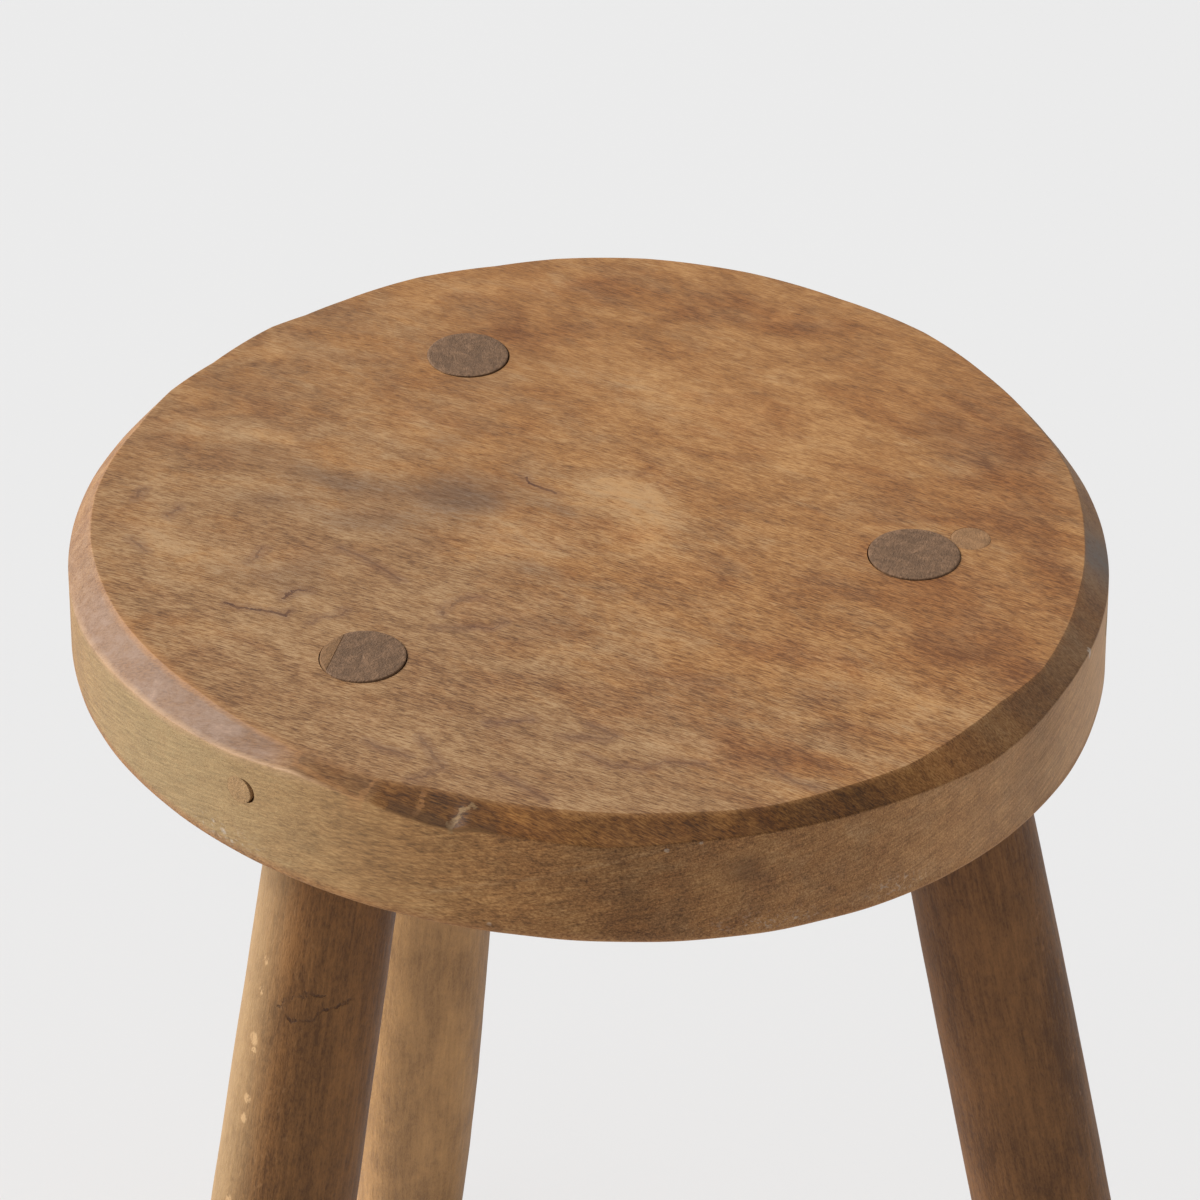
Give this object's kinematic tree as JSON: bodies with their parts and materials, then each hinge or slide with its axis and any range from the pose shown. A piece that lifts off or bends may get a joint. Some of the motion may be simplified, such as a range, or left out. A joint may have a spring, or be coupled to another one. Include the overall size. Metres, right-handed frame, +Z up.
{
  "type": "milking stool",
  "caption": "Round wooden milking stool: one thick board seat with a knife-cut bevel, on splayed swelling legs whose through tenons are locked by pegs driven in from the rim.",
  "frame": {"origin": "on the floor, in the middle of the footprint box; the seat's own axis stands at x -0.02685, y -0.01528", "axes": "+Z up from the floor to the seat, -Y towards the front from which the picture is taken, +X to the right leg's side"},
  "size_m": [0.331, 0.3428, 0.42],
  "materials": {
    "seat_wood": "old dry worn surface, warm brown with grey stains",
    "leg_wood": "old dull dark brown, rubbed paler on the edges",
    "peg_wood": "end grain, dull brown",
    "patch_wood": "paler let-in wood, dull"
  },
  "bodies": {
    "root": {"seat": "seat_wood", "leg_front_left": "leg_wood", "leg_right": "leg_wood", "leg_back_left": "leg_wood", "peg_front_left": "peg_wood", "peg_right": "peg_wood", "peg_back_left": "peg_wood", "patch_plug": "patch_wood", "tenon_slip": "patch_wood"}
  },
  "joints": []
}
